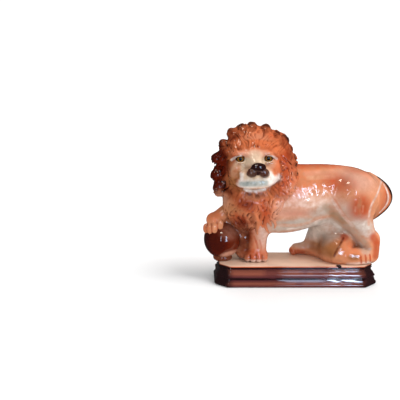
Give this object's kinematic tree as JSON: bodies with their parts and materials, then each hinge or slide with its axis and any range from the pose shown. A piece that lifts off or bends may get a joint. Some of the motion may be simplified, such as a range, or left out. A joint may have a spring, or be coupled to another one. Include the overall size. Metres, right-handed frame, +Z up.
{
  "type": "pottery lion",
  "caption": "Glazed pottery lion standing with one forepaw raised on a ball, curled mane, glass eyes, on an oblong moulded plinth with canted corners.",
  "frame": {"origin": "middle of the plinth's flat underside", "axes": "+Z up; +X along the plinth towards the tail, so the head and the ball are towards -X; the lion's face and near side look towards -Y"},
  "size_m": [0.314, 0.1164, 0.2643],
  "materials": {
    "glazed_earthenware": "high-gloss lead glaze over hand-painted colours",
    "eye_glass": "polished, amber iris with a dark pupil behind"
  },
  "bodies": {
    "root": {"pottery_lion": "glazed_earthenware", "glass_eye_left": "eye_glass", "glass_eye_right": "eye_glass"}
  },
  "joints": []
}
